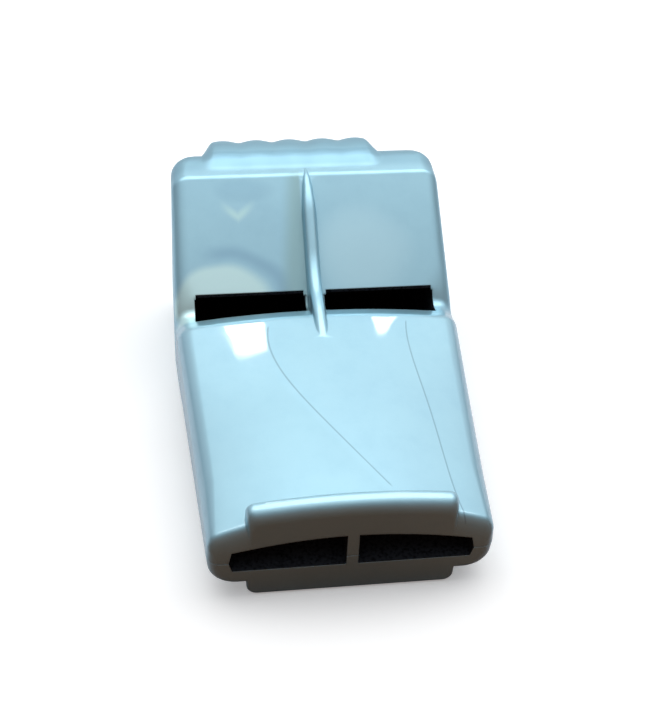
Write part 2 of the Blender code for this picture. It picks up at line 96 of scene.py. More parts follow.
class WhistleDetailSizes(bpy.types.PropertyGroup):
    """Openings and what stands on the body."""

    mouth_floor: length("Mouth floor", "Height of the mouth opening's floor", 3.6)
    mouth_roof: length("Mouth roof", "Height of the mouth opening's roof", 7.5)
    mouth_wall: length("Mouth wall", "Side wall at the mouth", 2.05)
    rear_wall: length("Rear wall", "Side wall of the chambers", 2.5)
    partition: length("Partition", "Wall between the two sides", 1.15)
    window_length: length("Window length", "Length of each window", 3.0)
    window_bridge: length("Window bridge", "Width between the windows", 2.6)
    lip: length("Lip", "Thickness of the lip in front of a window", 0.8)
    exit_height: length("Exit height", "Height of an air channel at its window", 1.5)
    labium_edge: length("Blowing edge", "Thickness of the edge behind a window", 0.4)
    ridge_depth: length("Ridge depth", "Depth of the bite ridges", 2.0)
    ridge_inset: length("Ridge inset", "How far the bite ridges end from the sides", 3.65)
    ridge_rise: length("Ridge rise", "Height of the upper bite ridge over the top", 0.95)
    fin_thickness: length("Fin thickness", "Thickness of the centre fin", 1.5)
    fin_tip: length("Fin tip", "Thickness of the fin where it meets the hump", 0.35)
    fin_height: length("Fin height", "Height of the centre fin over the ramp", 1.6)
    grip_lobes: IntProperty(
        name="Grip lobes", description="Number of round lobes on the grip", default=5, min=1, max=7
    )
    grip_pitch: length("Grip pitch", "Distance between the lobes of the grip", 4.05)
    grip_proud: length("Grip overhang", "How far the grip stands out behind the rear face", 3.6)
    grip_rise: length("Grip rise", "How far the grip rises over the hump", 1.1)
    grip_wave: FloatProperty(
        name="Grip wave", description="Share of the grip lost between its lobes", default=0.2
    )


class WhistleFinish(bpy.types.PropertyGroup):
    """Colours of the plastic and of the stage."""

    pearl: colour("Pearl", "Main colour of the pearl plastic", (0.42, 0.685, 0.80))
    pearl_deep: colour("Deep pearl", "Colour of the deeper clouds in the pearl plastic", (0.36, 0.60, 0.73))
    # Painted shade: the inside colour is near black in place of the shade inside the channels and the
    # chambers, whose plastic is the same pearl.
    inside: colour(
        "Inside", "Colour of the matt faces inside the channels and the chambers", (0.030, 0.036, 0.046)
    )
    block: colour("Block", "Colour of the channel blocks", (0.03, 0.04, 0.05))
    knit: colour("Knit line", "Colour of the lines where the plastic met in the mould", (0.20, 0.34, 0.43))
    floor: colour("Floor", "Colour of the studio floor", (0.90, 0.90, 0.90))
    floor_mirrored: colour(
        "Mirrored floor",
        "Colour of the floor beside the object, as the plastic mirrors it",
        (0.74, 0.76, 0.80),
    )
    room: colour(
        "Room", "Colour of the dark room in front, which the plastic mirrors", (0.150, 0.075, 0.047)
    )


# Sizes that stay out of the panel.
MOUTH_ROOF_DROP = 1.5 * MM
MOUTH_SIDE_KINK = 0.3 * MM
BROW_RADIUS = 2.2 * MM
VALLEY_RADIUS = 1.2 * MM
RAMP_TOP_RADIUS = 1.0 * MM
BELLY_RADIUS = 1.5 * MM
TOP_CORNER_RADIUS = 2.0 * MM
MOUTH_CORNER_RADIUS = 3.0 * MM
LOWER_CORNER_RADIUS = 2.2 * MM
MOUTH_EDGE_RADIUS = 1.2 * MM
UPPER_MOUTH_ROUNDING = 1.9 * MM
LOWER_MOUTH_ROUNDING = 0.8 * MM
REAR_PLAN_RADIUS = 3.2 * MM
REAR_EDGE_RADIUS = 2.2 * MM
RIDGE_RADIUS = 1.0 * MM
RIDGE_REAR_RADIUS = 0.45 * MM
UPPER_RIDGE_FRONT_RADIUS = 1.45 * MM
LOWER_RIDGE_FRONT_RADIUS = 0.5 * MM
RIDGE_DROP = 0.75 * MM
DRAFT = 0.03
FLOOR_WALL = 1.3 * MM
REAR_END_WALL = 1.6 * MM
ROOF_WALL = 1.6 * MM
WINDOW_INSET = 0.15 * MM
CHANNEL_INSET = 0.15 * MM
BLOCK_LEDGE = 0.2 * MM
FIN_LEAD = 4.4 * MM
FIN_TAIL = 1.4 * MM
FIN_FOOT = 0.35 * MM
FIN_TAPER = 5.0 * MM
FIN_NOSE = 1.2 * MM
FIN_SMOOTHING = 2.6 * MM
FIN_SINK = 0.12 * MM
GRIP_CENTRE = -1.35 * MM
GRIP_END = 1.8 * MM
GRIP_SETBACK = 0.7 * MM
GRIP_RISE_LENGTH = 5.0 * MM
GRIP_TAIL = 6.5 * MM
GRIP_ROOT = 0.03 * MM
EYE_LENGTH = 4.5 * MM
EYE_HEIGHT = 4.9 * MM
EYE_BAR = 1.6 * MM
EYE_WIDTH = 4.2 * MM
EYE_ROUNDING = 1.3 * MM
OVERLAP = 0.5 * MM
SHORTEST_STEP = 0.02 * MM
STATION_SPACING = 1.2 * MM
MOST_CORNER_SHARE = 0.9
MERGE_DISTANCE = 0.004 * MM
SLIVER_LENGTH = 0.002 * MM
SHARP_DEGREES = 32
ORIGIN = 28.8 * MM

# Shape of the fin's section and of its rings along the ramp.
FIN_STATIONS = 60
FIN_SPREAD_STEPS = 6
FIN_FOOT_STEPS = 4
FIN_THINNEST_NOSE = 0.2
FIN_CREST_ROUNDING = 1.1
FIN_CREST_FLAT = 0.1
FIN_FOOT_RISE = 1.25
FIN_LEAST_STEP = 0.01 * MM

# Shape of the grip's lobes.
LOBE_SOFTNESS = 0.22
LOBE_PEAK = 1.02


def body_sizes():
    return bpy.context.scene.whistle_body


def detail_sizes():
    return bpy.context.scene.whistle_details


def finish_colours():
    return bpy.context.scene.whistle_finish


# Outlines and sections of the body.


def filleted(corners):
    """Points of an open outline whose inner corners (y, z, radius) are rounded by an arc."""
    points = [Vector(corners[0][:2])]
    for before, corner, after in zip(corners, corners[1:], corners[2:]):
        apex = Vector(corner[:2])
        back = (Vector(before[:2]) - apex).normalized()
        on = (Vector(after[:2]) - apex).normalized()
        half = back.angle(on) / 2
        run = corner[2] / math.tan(half)
        centre = apex + (back + on).normalized() * corner[2] / math.sin(half)
        start = apex + back * run - centre
        end = apex + on * run - centre
        for step in range(ARC_STEPS + 1):
            points.append(centre + start.lerp(end, step / ARC_STEPS).normalized() * corner[2])
    points.append(Vector(corners[-1][:2]))
    return points


def height_at(outline, y):
    for low, high in zip(outline, outline[1:]):
        if low.x <= y <= high.x and high.x > low.x:
            return low.y + (high.y - low.y) * (y - low.x) / (high.x - low.x)
    return outline[0].y if y < outline[0].x else outline[-1].y


def upper_outline():
    size = body_sizes()
    return filleted(
        [
            (0.0, size.mouth_top),
            (size.brow, size.brow_height, BROW_RADIUS),
            (size.valley, size.valley_height, VALLEY_RADIUS),
            (size.ramp_top, size.ramp_top_height, RAMP_TOP_RADIUS),
            (size.body_length, size.rear_height),
        ]
    )


def lower_outline():
    size = body_sizes()
    return filleted(
        [
            (0.0, size.front_underside),
            (size.belly_start, size.front_underside, BELLY_RADIUS),
            (size.belly_start + size.belly_slope, 0.0, BELLY_RADIUS),
            (size.body_length, 0.0),
        ]
    )


def half_width(y):
    size = body_sizes()
    return size.mouth_half_width + size.rear_flare * min(max(y / size.flare_length, 0.0), 1.0)


def exit_y():
    return body_sizes().valley - detail_sizes().window_length / 2


def labium_y():
    return body_sizes().valley + detail_sizes().window_length / 2


def crown_drop(y):
    share = (labium_y() - y) / (labium_y() - exit_y())
    size = body_sizes()
    more = (size.mouth_crown_drop - size.crown_drop) * max(1 - y / size.brow, 0.0)
    return size.crown_drop * min(max(share, 0.0), 1.0) + more


def top_corner(y):
    share = min(max(y / body_sizes().brow, 0.0), 1.0)
    return MOUTH_CORNER_RADIUS + (TOP_CORNER_RADIUS - MOUTH_CORNER_RADIUS) * share


def section(half, base, top, corner, drop):
    """Ring of (x, z): flat base, drafted sides, rounded corners, crowned top, or the same upside down."""
    up = 1 if top > base else -1
    rise = abs(top - base)
    side = half - DRAFT * (rise - drop)
    corner = min(corner, MOST_CORNER_SHARE * (rise - drop), MOST_CORNER_SHARE * side)
    slope = math.atan2(2 * drop, side) if side else 0.0
    reach = side - corner
    shoulder = rise - drop * (reach / side) ** 2 - corner * math.cos(slope)
    right = []
    for step in range(SIDE_STEPS):
        share = step / SIDE_STEPS
        right.append((half + (side - half) * share, shoulder * share))
    for step in range(ARC_STEPS + 1):
        angle = (math.pi / 2 - slope) * step / ARC_STEPS
        right.append((reach + corner * math.cos(angle), shoulder + corner * math.sin(angle)))
    edge_x, edge_z = right[-1]
    for step in range(1, CROWN_STEPS + 1):
        x = edge_x * (1 - step / CROWN_STEPS)
        right.append((x, rise + (edge_z - rise) * (x / edge_x) ** 2))
    left = [(-x, z) for x, z in reversed(right[:-1])]
    return [(x, base + up * z) for x, z in right + left]


def stations(outline, mouth_rounding):
    """Places along the length where the body has a ring, with how far each edge is drawn in there."""
    end = body_sizes().body_length
    found = []
    for step in range(ARC_STEPS):
        angle = math.pi / 2 * step / ARC_STEPS
        inset = 1 - math.sin(angle)
        y = MOUTH_EDGE_RADIUS * (1 - math.cos(angle))
        found.append((y, MOUTH_EDGE_RADIUS * inset, mouth_rounding * inset))
    low, high = MOUTH_EDGE_RADIUS, end - REAR_PLAN_RADIUS
    plain = [low, body_sizes().flare_length, exit_y(), labium_y()]
    plain += [point.x for point in outline[1:-1] if low < point.x < high]
    count = round((high - low) / STATION_SPACING)
    filler = [low + (high - low) * number / count for number in range(1, count)]
    plain += [y for y in filler if min(abs(y - other) for other in plain) > STATION_SPACING / 2]
    found += [(y, 0.0, 0.0) for y in plain]
    for step in range(ARC_STEPS + 1):
        angle = math.pi / 2 * step / ARC_STEPS
        inset = 1 - math.cos(angle)
        y = end - REAR_PLAN_RADIUS * (1 - math.sin(angle))
        found.append((y, REAR_PLAN_RADIUS * inset, REAR_EDGE_RADIUS * inset))
    found.sort()
    return [place for i, place in enumerate(found) if i == 0 or place[0] - found[i - 1][0] > SHORTEST_STEP]


# Solids drawn out by extrusion, and the tools that cut and join them.


def drawn_out(rings):
    """Solid from a disc in the shape of the first ring, extruded to each further ring of (x, y, z)."""
    shape = bmesh.new()
    bmesh.ops.create_circle(shape, cap_ends=True, segments=len(rings[0]), radius=1.0)
    shape.verts.ensure_lookup_table()
    for vert, place in zip(shape.verts, rings[0]):
        vert.co = place
    shape.edges.ensure_lookup_table()
    edges = list(shape.edges)
    follow = {vert: number for number, vert in enumerate(shape.verts)}
    for ring in rings[1:]:
        made = bmesh.ops.extrude_edge_only(shape, edges=edges)["geom"]
        edges = [part for part in made if isinstance(part, bmesh.types.BMEdge)]
        edges = [edge for edge in edges if all(vert not in follow for vert in edge.verts)]
        fresh = {}
        for vert in (part for part in made if isinstance(part, bmesh.types.BMVert)):
            old = next(edge.other_vert(vert) for edge in vert.link_edges if edge.other_vert(vert) in follow)
            fresh[vert] = follow[old]
        for vert, number in fresh.items():
            vert.co = ring[number]
        follow = fresh
    bmesh.ops.triangulate(shape, faces=[face for face in shape.faces if len(face.verts) == 4])
    bmesh.ops.contextual_create(shape, geom=edges)
    for vert in shape.verts:
        vert.co.y -= ORIGIN
    bmesh.ops.recalc_face_normals(shape, faces=shape.faces)
    return shape


def rounded_bar(low, high, radius):
    """Bar along X whose four long edges are rounded."""
    shape = bmesh.new()
    bmesh.ops.create_cube(shape, size=1.0)
    low, high = Vector(low), Vector(high)
    bmesh.ops.scale(shape, vec=high - low, verts=shape.verts)
    bmesh.ops.translate(shape, vec=(low + high) / 2 - Vector((0.0, ORIGIN, 0.0)), verts=shape.verts)
    edges = [edge for edge in shape.edges if abs(edge.verts[0].co.x - edge.verts[1].co.x) > OVERLAP]
    bmesh.ops.bevel(
        shape,
        geom=edges,
        offset=radius,
        offset_type="OFFSET",
        segments=6,
        profile=0.5,
        affect="EDGES",
        material=-1,
    )
    return shape


def as_object(shape, name):
    mesh = bpy.data.meshes.new(name)
    shape.to_mesh(mesh)
    shape.free()
    obj = bpy.data.objects.new(name, mesh)
    bpy.context.scene.collection.objects.link(obj)
    return obj


def carved(name, body, skin, inside, joined=(), cut=(), pierced=(), joined_last=()):
    """One object from a body and the shapes joined to it.

    The faces that a cut leaves are inside ones, with the near-black inside material that paints the shade
    there, and those of a pierced hole are skin.
    """
    target = as_object(body, name)
    target.data.materials.append(skin)
    steps = [(shape, "UNION", skin) for shape in joined]
    steps += [(shape, "DIFFERENCE", inside) for shape in cut]
    steps += [(shape, "DIFFERENCE", skin) for shape in pierced]
    steps += [(shape, "UNION", skin) for shape in joined_last]
    helpers = []
    for number, (shape, operation, plastic) in enumerate(steps):
        other = as_object(shape, f"{name}_tool_{number + 1}")
        other.data.materials.append(plastic)
        modifier = target.modifiers.new(other.name, "BOOLEAN")
        modifier.operation = operation
        modifier.solver = "EXACT"
        modifier.material_mode = "TRANSFER"
        modifier.object = other
        helpers.append(other)
    bpy.context.view_layer.update()
    graph = bpy.context.evaluated_depsgraph_get()
    finished = bpy.data.meshes.new_from_object(target.evaluated_get(graph))
    target.modifiers.clear()
    target.data = finished
    finished.name = name
    for other in helpers:
        bpy.data.objects.remove(other, do_unlink=True)
    return target


def smooth_shaded(obj):
    """Merges the doubles that the cuts left, then shades smooth up to an angle."""
    shape = bmesh.new()
    shape.from_mesh(obj.data)
    bmesh.ops.remove_doubles(shape, verts=shape.verts, dist=MERGE_DISTANCE)
    bmesh.ops.dissolve_degenerate(shape, edges=shape.edges, dist=SLIVER_LENGTH)
    shape.to_mesh(obj.data)
    shape.free()
    obj.data.shade_smooth()
    obj.data.set_sharp_from_angle(angle=math.radians(SHARP_DEGREES))
    modifier = obj.modifiers.new("even shading", "WEIGHTED_NORMAL")
    modifier.keep_sharp = True
    modifier.weight = 60


# Cutters for the air channels, the block pockets, the chambers and the windows.


def chamber_side():
    return half_width(body_sizes().body_length) - detail_sizes().rear_wall


def window_side():
    return chamber_side() - WINDOW_INSET


def channel_side(y):
    at_mouth = half_width(0.0) - detail_sizes().mouth_wall
    return at_mouth + (window_side() - CHANNEL_INSET - at_mouth) * y / exit_y()


def channel_floor(y):
    floor = detail_sizes().mouth_floor
    return floor + (channel_roof(exit_y()) - detail_sizes().exit_height - floor) * y / exit_y()


def channel_roof(y):
    roof = detail_sizes().mouth_roof
    exit_roof = height_at(upper_outline(), exit_y()) - detail_sizes().lip
    return roof + (exit_roof - roof) * y / exit_y()


def channel_side_height(y):
    size = detail_sizes()
    share = (body_sizes().weld_height - size.mouth_floor) / (size.mouth_roof - size.mouth_floor)
    return channel_floor(y) + share * (channel_roof(y) - channel_floor(y))


def block_start():
    floor = detail_sizes().mouth_floor
    return exit_y() * (body_sizes().weld_height - floor) / (channel_floor(exit_y()) - floor)


def inner_x():
    return detail_sizes().partition / 2


def box_ring(y, side, x0, x1, z0, z1):
    return [(side * x, y, z) for x, z in ((x0, z0), (x1, z0), (x1, z1), (x0, z1))]


def channel_cutter(side, steps=10):
    rings = []
    for y in (-2 * OVERLAP, 0.0, exit_y() / 2, exit_y(), exit_y() + OVERLAP):
        outer = channel_side(y)
        floor, roof = channel_floor(y), channel_roof(y)
        drop = MOUTH_ROOF_DROP + (body_sizes().crown_drop / 2 - MOUTH_ROOF_DROP) * y / exit_y()
        ring = [(inner_x(), floor), (outer - MOUTH_SIDE_KINK, floor), (outer, channel_side_height(y))]
        for step in range(steps + 1):
            x = outer - MOUTH_SIDE_KINK + (inner_x() - outer + MOUTH_SIDE_KINK) * step / steps
            ring.append((x, roof - drop * (x / outer) ** 2))
        rings.append([(side * x, y, z) for x, z in ring])
    return drawn_out(rings)


def pocket_cutter(side):
    tray = body_sizes().front_underside + FLOOR_WALL
    return drawn_out(
        [
            box_ring(y, side, inner_x(), channel_side(y) - BLOCK_LEDGE, tray, channel_side_height(y))
            for y in (block_start(), exit_y() + OVERLAP)
        ]
    )


def chamber_roof(y):
    size = body_sizes()
    edge = detail_sizes().labium_edge
    slope = math.atan2(size.ramp_top_height - size.valley_height, size.ramp_top - size.valley)
    share = min(max((y - labium_y()) / (2 * ROOF_WALL), 0.0), 1.0)
    return height_at(upper_outline(), y) - edge - (ROOF_WALL / math.cos(slope) - edge) * share


def chamber_cutter(side):
    size = body_sizes()
    end = size.body_length - REAR_END_WALL
    outer = chamber_side()
    edge_height = height_at(upper_outline(), labium_y()) - detail_sizes().labium_edge
    places = [labium_y(), labium_y() + 2 * ROOF_WALL, size.ramp_top, end - ROOF_WALL]
    rings = [box_ring(exit_y(), side, inner_x(), outer, FLOOR_WALL, edge_height)]
    rings += [box_ring(y, side, inner_x(), outer, FLOOR_WALL, chamber_roof(y)) for y in places]
    last = (end, side, inner_x(), outer - ROOF_WALL, 2 * FLOOR_WALL, chamber_roof(end) - ROOF_WALL)
    return drawn_out(rings + [box_ring(*last)])


def window_cutter(side):
    bottom = channel_floor(exit_y())
    top = body_sizes().brow_height + 2 * detail_sizes().fin_height
    bridge = detail_sizes().window_bridge / 2
    places = (exit_y(), labium_y())
    return drawn_out([box_ring(y, side, bridge, window_side(), bottom, top) for y in places])


def eye_cutter():
    size = body_sizes()
    low = (-EYE_WIDTH, size.body_length, size.weld_height - EYE_HEIGHT / 2)
    high = (EYE_WIDTH, size.body_length + EYE_LENGTH, size.weld_height + EYE_HEIGHT / 2)
    return rounded_bar(low, high, EYE_ROUNDING - EYE_BAR / 2)


# What stands on the body.


def ridge(base, top, drop, front_radius):
    """Bite ridge across the mouth, rounded at its ends and along its front and rear edges."""
    size, detail = body_sizes(), detail_sizes()
    places = []
    for step in range(ARC_STEPS + 1):
        angle = math.pi / 2 * step / ARC_STEPS
        places.append((front_radius * (1 - math.cos(angle)), front_radius * (1 - math.sin(angle))))
    for step in range(ARC_STEPS + 1):
        angle = math.pi / 2 * step / ARC_STEPS
        y = detail.ridge_depth - RIDGE_REAR_RADIUS * (1 - math.sin(angle))
        places.append((y, RIDGE_REAR_RADIUS * (1 - math.cos(angle))))
    rings = []
    for y, loss in places:
        crest = top - loss if top > base else top + loss
        half = size.mouth_half_width - detail.ridge_inset - loss / 2
        rings.append([(x, y, z) for x, z in section(half, base, crest, RIDGE_RADIUS, drop)])
    return drawn_out(rings)


def fin_crest(y, outline, start, end):
    """Height of the fin's top edge at y: sunk at the brow, proud over the ramp, level with the hump."""
    y = min(max(y, start), end)
    swell = math.sin(math.pi / 2 * min((y - start) / (labium_y() - start), 1.0))
    over = max(height_at(outline, y), height_at(outline, start)) - OVERLAP / 2
    return min(over + (OVERLAP / 2 + detail_sizes().fin_height) * swell, height_at(outline, end))


def fin():
    """Blade from the brow over the windows and the ramp to the hump, with a small fillet along its foot."""
    size, detail = body_sizes(), detail_sizes()
    outline = upper_outline()
    start, end = size.brow - FIN_LEAD, size.ramp_top + FIN_TAIL
    base = channel_roof(exit_y())
    spread = [FIN_SMOOTHING * (step / FIN_SPREAD_STEPS - 1) for step in range(2 * FIN_SPREAD_STEPS + 1)]
    rings = []
    for number in range(FIN_STATIONS + 1):
        y = start + (end - start) * number / FIN_STATIONS
        nose = 1 - min((y - start) / FIN_NOSE, 1.0)
        more = (detail.fin_thickness - detail.fin_tip) * min((end - y) / FIN_TAPER, 1.0)
        thick = (detail.fin_tip + more) / 2
        thick *= max(math.sqrt(1 - nose * nose), FIN_THINNEST_NOSE)
        surface = height_at(outline, y)
        near = min((y - start) / FIN_SMOOTHING, (end - y) / FIN_SMOOTHING, 1.0)
        crest = sum(fin_crest(y + near * offset, outline, start, end) for offset in spread) / len(spread)
        foot = min(FIN_FOOT, max(crest - surface, 0.0) / 2)
        round_height = thick * FIN_CREST_ROUNDING
        right = [(thick + foot, base)]
        for step in range(FIN_FOOT_STEPS + 1):
            angle = math.pi / 2 * step / FIN_FOOT_STEPS
            rise = (FIN_SINK + foot * FIN_FOOT_RISE) * (1 - math.cos(angle))
            highest = crest - round_height - (FIN_FOOT_STEPS - step) * FIN_LEAST_STEP
            z = min(surface - FIN_SINK + rise, highest)
            right.append((thick + foot * (1 - math.sin(angle)), z))
        for step in range(1, ARC_STEPS + 1):
            angle = math.pi / 2 * step / ARC_STEPS
            wide = FIN_CREST_FLAT * thick + (1 - FIN_CREST_FLAT) * thick * math.cos(angle)
            right.append((wide, crest - round_height + round_height * math.sin(angle)))
        profile = right + [(-x, z) for x, z in reversed(right)]
        rings.append([(x, y, z) for x, z in profile])
    return drawn_out(rings)


def eased(share):
    """0 to 1 with a level start and end."""
    share = min(max(share, 0.0), 1.0)
    return share * share * (3 - 2 * share)


def grip_share(x):
    """Share of its full height that the grip has at x: lobes side by side, and a slope at each end."""
    detail = detail_sizes()
    place = (x - GRIP_CENTRE) / detail.grip_pitch + detail.grip_lobes / 2
    lobe = math.hypot(math.cos(math.pi * (place % 1 - 0.5)), LOBE_SOFTNESS)
    edge = detail.grip_lobes * detail.grip_pitch / 2 + GRIP_END / 2 - abs(x - GRIP_CENTRE)
    return (1 - detail.grip_wave * (LOBE_PEAK - lobe)) * eased(edge / GRIP_END)


def grip_profile(x, outline, steps=12):
    """Ring of the grip at x: up the hump, over the rear edge, down the rear face, back inside the wall."""
    size = body_sizes()
    start, bend = size.ramp_top + GRIP_SETBACK, size.body_length - REAR_PLAN_RADIUS
    centre = height_at(outline, bend) - REAR_EDGE_RADIUS
    up = (GRIP_ROOT + detail_sizes().grip_rise) * grip_share(x)
    back = (GRIP_ROOT + detail_sizes().grip_proud) * grip_share(x)
    ring = []
    for step in range(steps):
        y = start + (bend - start) * step / steps
        ring.append((y, height_at(outline, y) - GRIP_ROOT + up * eased((y - start) / GRIP_RISE_LENGTH)))
    for step in range(steps + 1):
        angle = math.pi / 2 * step / steps
        reach = bend + REAR_PLAN_RADIUS * math.sin(angle) - start
        top = REAR_EDGE_RADIUS - GRIP_ROOT + up * eased(reach / GRIP_RISE_LENGTH)
        y = bend + (REAR_PLAN_RADIUS - GRIP_ROOT + back) * math.sin(angle)
        ring.append((y, centre + top * math.cos(angle)))
    for step in range(1, steps):
        out = back * (1 - eased(step / (steps - 1))) - GRIP_ROOT
        ring.append((size.body_length + out, centre - GRIP_TAIL * step / (steps - 1)))
    ring.append((size.body_length - REAR_END_WALL / 2, centre - GRIP_TAIL))
    ring.append((start + ROOF_WALL / 2, height_at(outline, start) - ROOF_WALL / 2))
    return [(x, y, z) for y, z in ring]


def grip(steps=12):
    """Scalloped pad over the rear top edge, where the thumb rests."""
    detail = detail_sizes()
    outline = upper_outline()
    half = detail.grip_lobes * detail.grip_pitch / 2 - GRIP_END / 2
    count = detail.grip_lobes * steps
    places = [-half + 2 * half * number / count for number in range(count + 1)]
    slope = [GRIP_END * number / steps for number in range(1, steps + 1)]
    places = [-half - x for x in reversed(slope)] + places + [half + x for x in slope]
    return drawn_out([grip_profile(GRIP_CENTRE + x, outline) for x in places])


def eye_half(z0, z1):
    length_overall = body_sizes().body_length + EYE_LENGTH + EYE_BAR
    low = (-EYE_WIDTH / 2, body_sizes().body_length - REAR_END_WALL / 2, z0)
    return rounded_bar(low, (EYE_WIDTH / 2, length_overall, z1), EYE_ROUNDING)


# Shader maths: an expression on values adds its nodes.


class Value:
    """A shader socket, or a number, that the usual operators work on."""

    def __init__(self, tree, socket):
        self.tree, self.socket = tree, socket

    def maths(self, operation, *others):
        return self.tree.node("ShaderNodeMath", {"operation": operation}, [self, *others])

    def __add__(self, other):
        return self.maths("ADD", other)

    __radd__ = __add__

    def __mul__(self, other):
        return self.maths("MULTIPLY", other)

    __rmul__ = __mul__

    def __sub__(self, other):
        return self.maths("SUBTRACT", other)

    def __truediv__(self, other):
        return self.maths("DIVIDE", other)

    def __abs__(self):
        return self.maths("ABSOLUTE")

    def power(self, other):
        return self.maths("POWER", other)

    def most(self, other):
        return self.maths("MAXIMUM", other)

    def ramp(self, low, high, start=0.0, end=1.0):
        """start below low, end above high and a smooth change between them."""
        settings = {"interpolation_type": "SMOOTHSTEP"}
        return self.tree.node("ShaderNodeMapRange", settings, [self, low, high, start, end])


class Surface:
    """Node tree of one material, which starts with a Principled shader."""

    def __init__(self, name):
        self.material = bpy.data.materials.new(name)
        self.material.use_nodes = True
        self.tree = self.material.node_tree
        self.shader = self.tree.nodes["Principled BSDF"]
        self.places = None

    def node(self, kind, settings=None, values=(), output=0):
        made = self.tree.nodes.new(kind)
        for name, setting in (settings or {}).items():
            setattr(made, name, setting)
        pairs = values.items() if isinstance(values, dict) else enumerate(values)
        for key, value in pairs:
            self.feed(made.inputs[key], value)
        return Value(self, made.outputs[output])

    def feed(self, socket, value):
        if isinstance(value, Value):
            self.tree.links.new(value.socket, socket)
        else:
            socket.default_value = value

    def set(self, **values):
        for name, value in values.items():
            self.feed(self.shader.inputs[name.replace("_", " ").title()], value)

    def position(self):
        """Object coordinates and their three parts, in millimetres."""
        if self.places is None:
            coordinates = self.node("ShaderNodeTexCoord", output=3)
            scaled = self.node("ShaderNodeVectorMath", {"operation": "SCALE"}, {0: coordinates, 3: 1000.0})
            parts = self.node("ShaderNodeSeparateXYZ", values=[scaled])
            node = parts.socket.node
            self.places = (scaled, *(Value(self, node.outputs[i]) for i in range(3)))
        return self.places

    def noise(self, scale, detail=3.0, roughness=0.5, offset=(0.0, 0.0, 0.0), stretch=(1.0, 1.0, 1.0)):
        where = self.position()[0]
        if any(offset) or stretch != (1.0, 1.0, 1.0):
            settings = {"operation": "MULTIPLY_ADD"}
            where = self.node("ShaderNodeVectorMath", settings, [where, stretch, offset])
        values = {"Vector": where, "Scale": scale, "Detail": detail, "Roughness": roughness}
        return self.node("ShaderNodeTexNoise", {"noise_dimensions": "3D"}, values)

    def cells(self, scale):
        values = {"Vector": self.position()[0], "Scale": scale}
        return self.node("ShaderNodeTexVoronoi", {"feature": "F1"}, values)

    def mixed(self, share, first, second):
        first, second = (value if isinstance(value, Value) else (*value, 1.0) for value in (first, second))
        made = self.tree.nodes.new("ShaderNodeMix")
        made.data_type = "RGBA"
        for socket, value in ((made.inputs[0], share), (made.inputs[6], first), (made.inputs[7], second)):
            self.feed(socket, value)
        return Value(self, made.outputs[2])

    def bump(self, height, strength, distance, normal=None):
        values = {"Strength": strength, "Distance": distance, "Height": height}
        if normal is not None:
            values["Normal"] = normal
        return self.node("ShaderNodeBump", values=values)


# Knit lines: factors of the polynomial, first and last y, and width, in millimetres.
LEFT_KNIT_LINE = ((2.55e-05, 0.0019595, 0.0600408, 0.3001772, -5.67), -25.4, -0.9, 0.13)
RIGHT_KNIT_LINE = ((2.87e-05, 0.0017098, 0.0346469, 0.2213522, 9.75), -28.6, -0.6, 0.11)
RIPPLE_STRENGTH = 24.0


def knit_line(surface, coefficients, low, high, width):
    """1 on a curve x = polynomial of y, over a range of y, and 0 away from it."""
    _, x, y, _ = surface.position()
    curve = coefficients[0]
    for coefficient in coefficients[1:]:
        curve = y * curve + coefficient if isinstance(curve, float) else curve * y + coefficient
    near = abs(x - curve).ramp(width * 0.35, width, 1.0, 0.0)
    ends = y.ramp(low - 0.3, low + 0.3) * y.ramp(high - 0.3, high + 0.3, 1.0, 0.0)
    return near * ends


def marks_and_painted_shade(surface, base):
    """Paler and deeper patches on the ramp round the windows, painted shade along the fin's left side, a
    deeper patch low on the left of the mouthpiece and a deeper hump.
    """
    _, x, y, z = surface.position()
    ramp = y.ramp(2.2, 3.2) * y.ramp(16.0, 17.5, 1.0, 0.0) * z.ramp(9.0, 10.0)
    wander = (surface.noise(0.22, detail=0.0, offset=(3.0, 9.0, 5.0)) - 0.5) * 0.35

    across, along = (x + 10.9) / 5.9, (y - 4.2) / 3.95
    lens = (across * across + along * along).power(0.5) + wander
    base = surface.mixed(lens.ramp(0.85, 1.15, 0.85, 0.0) * ramp, base, (0.70, 0.94, 0.94))
    arc = abs(lens - 1.35).ramp(0.0, 0.3, 1.0, 0.0) * x.ramp(-14.0, -10.0) * x.ramp(-2.0, -0.9, 1.0, 0.0)
    base = surface.mixed(arc * ramp * 0.7, base, (0.29, 0.50, 0.65))

    off = abs(x + 8.3 + wander)
    mark = abs(y - (off * 0.6 + 12.6)).ramp(0.0, 0.75, 1.0, 0.0) * off.ramp(0.3, 2.4, 1.0, 0.0)
    base = surface.mixed(mark * ramp * 0.6, base, (0.66, 0.90, 0.88))
    across, along = (x + 7.6) / 3.8, (y - 15.0) / 1.3
    patch = (across * across + along * along + wander).ramp(0.2, 1.2, 1.0, 0.0)
    base = surface.mixed(patch * ramp * 0.35, base, (0.30, 0.52, 0.66))

    # Painted shade: a darker olive band on the ramp along the fin's left side.
    beside = x - (y - 16.0) * 0.13 + 1.6
    fin_side_painted_shade = beside.ramp(-1.6, 0.6) * x.ramp(-1.0, -0.7, 1.0, 0.0)
    base = surface.mixed(fin_side_painted_shade * ramp * 0.8, base, (0.33, 0.52, 0.55))
    across, along = (x - 6.0) / 6.5, (y - 8.8) / 5.0
    pale = (across * across + along * along + wander).ramp(0.1, 1.1, 1.0, 0.0)
    base = surface.mixed(pale * ramp * 0.5, base, (0.58, 0.84, 0.93))

    hump = y.ramp(16.9, 18.6) * z.ramp(19.0, 20.0)
    pad = y.ramp(17.5, 18.5) * y.ramp(20.4, 21.6, 1.0, 0.0) * abs(x + 1.35).ramp(9.0, 10.5, 1.0, 0.0)
    base = surface.mixed((hump * 0.5).most(hump * pad * 0.95), base, (0.28, 0.50, 0.62))
    low = y.ramp(-14.0, -6.0, 1.0, 0.0) * (x + y * 0.55 + 11.5).ramp(0.0, 1.2, 1.0, 0.0)
    return surface.mixed(low * 0.45, base, (0.37, 0.615, 0.72))


